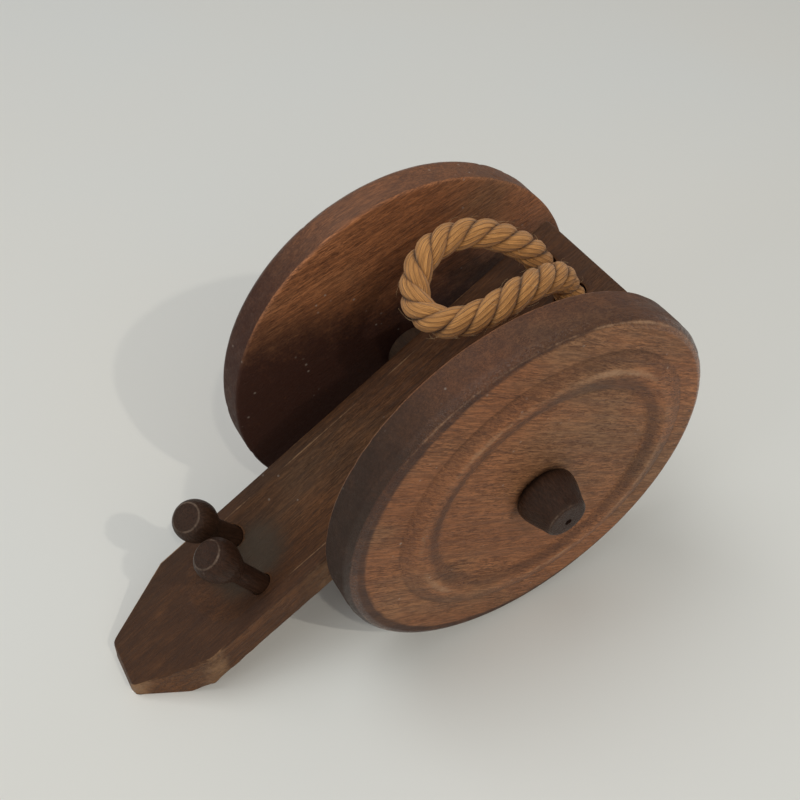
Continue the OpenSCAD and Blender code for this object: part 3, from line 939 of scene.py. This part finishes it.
def makeCaps(material):
    belly = (capHigh.z - capLow.z) / 2
    low, high, end = capLow.y, capHigh.y, capSet["end"] / 2
    corners = [(belly - 1.6 * mm, low), (belly - 0.5 * mm, low + 1 * mm), (belly, low + 2.6 * mm),
               (belly - 0.1 * mm, low + 4.5 * mm), (belly - 0.7 * mm, low + 7 * mm),
               (belly - 1.7 * mm, low + 10 * mm),
               (belly - 2.9 * mm, high - 4.5 * mm), (end + 0.7 * mm, high - 1 * mm), (end - 0.6 * mm, high)]
    profile = between((0.0, low), (belly - 1.6 * mm, low), 3) + smoothProfile(corners, 4)
    profile += between((end - 0.6 * mm, high), (0.0, high), 5)[1:] + [(0.0, high)]

    def wornRim(r, z):
        return 0.5 * softStep(1.3 * mm, 0.2 * mm, math.hypot(r - end, z - high + 0.5 * mm))

    def dirtyFoot(r, z):
        return 0.8 * softStep(low + 5 * mm, low, z)

    for side, sign in (("left", 1), ("right", -1)):
        place = onAxle(sign)
        aside = capSet["rightAside"] if sign < 0 else (0, 0)
        seated = Matrix.Translation((aside[0], 0, aside[1])) @ place
        piece = turnedPiece(side + "_cap_turned", side + "_hub_cap", profile, seated, material, wornRim,
                            dirtyFoot, 1.0 + 4 * sign)
        hole, count = [], 20
        for depth in (capSet["nailSink"], -2 * mm):
            for k in range(count):
                a = 2 * math.pi * k / count
                hole.append(place @ Vector((capSet["nailOff"] + capSet["nailHole"] * math.cos(a),
                                            capSet["nailHole"] * math.sin(a), high - depth)))
        drill(piece, hole, drillFaces(0, count))
        piece.data.set_sharp_from_angle(angle=math.radians(40))


turnedMaterial = woodMaterial("dark turned wood", pegSet["look"])
makePegs(turnedMaterial)
makeCaps(turnedMaterial)
print("pegs and caps made")


# the axle, nails and screws keep their modelled shape
def objectWood(name, look):
    # the same wood for a piece whose mesh carries no masks
    made, tree, shader = newMaterial(name)
    where = addNode(tree, "TexCoord").outputs["Object"]
    turned = addNode(tree, "Mapping", {"Vector": where, "Rotation": (0, 0, math.radians(-90))}).outputs[0]
    figure = useWood(tree, turned, look)
    wearAndShading = useWearAndShading(tree, turned, figure.outputs["Color"], look["wornMask"], look["dirtMask"], look)
    feed(tree, shader, {"Base Color": wearAndShading.outputs["Color"],
                        "Roughness": plus(tree, wearAndShading.outputs["Rough"], look["rough"])})
    addBump(tree, shader, look["bump"], woodRelief, figure.outputs["Height"])
    return made


steelSet = {"steelColour": rgb(0.2, 0.19, 0.18), "rustColour": rgb(0.1, 0.045, 0.02), "relief": 0.2 * mm}


def steelMaterial():
    made, tree, shader = newMaterial("rusty steel")
    where = addNode(tree, "TexCoord").outputs["Object"]
    rust = spread(tree, noiseAt(tree, where, 900, 4, 0.65), 0.42, 0.6)
    colour = mixColour(tree, rust, steelSet["steelColour"], steelSet["rustColour"])
    feed(tree, shader, {"Base Color": colour, "Roughness": spread(tree, rust, 0, 1, 0.38, 0.85),
                        "Metallic": spread(tree, rust, 0, 1, 1.0, 0.1)})
    addBump(tree, shader, 0.3, steelSet["relief"], rust)
    return made


def dress(node, material):
    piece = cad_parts[node]
    piece.data.materials.clear()
    piece.data.materials.append(material)


axleLook = dict(plankSet["look"], light=rgb(0.17, 0.085, 0.04), wornMask=0.1, dirtMask=0.5,
                rough=0.4, bump=0.4)
dress("axle_beam", objectWood("axle wood", axleLook))
steel = steelMaterial()
for node in ("left_cap_nail", "right_cap_nail", "left_axle_screw", "right_axle_screw"):
    dress(node, steel)


roomSet = {"floor": 3.0, "floorColour": rgb(0.78, 0.765, 0.71), "floorTint": rgb(0.77, 0.77, 0.73),
           "sky": rgb(0.97, 0.98, 1.0), "skyStrength": 0.33}
warmLight = (1.0, 0.95, 0.86)
# each lamp: azimuth and elevation seen from the axle, distance, size, power and colour
lampSet = {"lampRight": {"azimuth": -77.7, "elevation": 47.9, "distance": 2.06, "size": 0.04, "power": 5.4,
                         "colour": warmLight},
           "lampLeft": {"azimuth": -107.1, "elevation": 54.2, "distance": 2.0, "size": 0.05, "power": 3.6,
                        "colour": warmLight},
           "softFront": {"azimuth": -100, "elevation": 36, "distance": 1.8, "size": 1.3, "power": 4.0,
                         "colour": warmLight},
           "softTop": {"azimuth": 140, "elevation": 68, "distance": 2.3, "size": 1.3, "power": 18,
                       "colour": (0.93, 0.97, 1.0)},
           "lowWindow": {"azimuth": -170, "elevation": 23, "distance": 2.2, "size": 0.45, "power": 3.2,
                         "colour": (0.9, 0.95, 1.0)}}


def makeRoom():
    half = roomSet["floor"] / 2
    made, tree, shader = newMaterial("pale floor")
    where = addNode(tree, "TexCoord").outputs["Object"]
    mottled = spread(tree, noiseAt(tree, where, 2.5, 2), 0.3, 0.7, 0.0, 1.0)
    colour = mixColour(tree, mottled, roomSet["floorColour"], roomSet["floorTint"])
    feed(tree, shader, {"Base Color": colour, "Roughness": 0.7, "Specular IOR Level": 0.2})
    floor = newPiece("floor", [(-half, -half, 0), (half, -half, 0), (half, half, 0), (-half, half, 0)],
                     [(0, 1, 2, 3)], made, smooth=False)
    world = bpy.data.worlds.new("sky")
    world.use_nodes = True
    world.node_tree.nodes["Background"].inputs[0].default_value = roomSet["sky"]
    world.node_tree.nodes["Background"].inputs[1].default_value = roomSet["skyStrength"]
    bpy.context.scene.world = world
    for name, lampLook in lampSet.items():
        lamp = bpy.data.lights.new(name, "AREA")
        lamp.size = lampLook["size"]
        lamp.energy = lampLook["power"]
        lamp.color = lampLook["colour"]
        holder = bpy.data.objects.new(name, lamp)
        az, el = math.radians(lampLook["azimuth"]), math.radians(lampLook["elevation"])
        toLamp = Vector((math.cos(az) * math.cos(el), math.sin(az) * math.cos(el), math.sin(el)))
        holder.location = axlePoint + toLamp * lampLook["distance"]
        holder.rotation_euler = (-toLamp).to_track_quat("-Z", "Y").to_euler()
        bpy.context.scene.collection.objects.link(holder)
    bpy.context.scene.view_settings.view_transform = "Standard"


makeRoom()
print("room made")
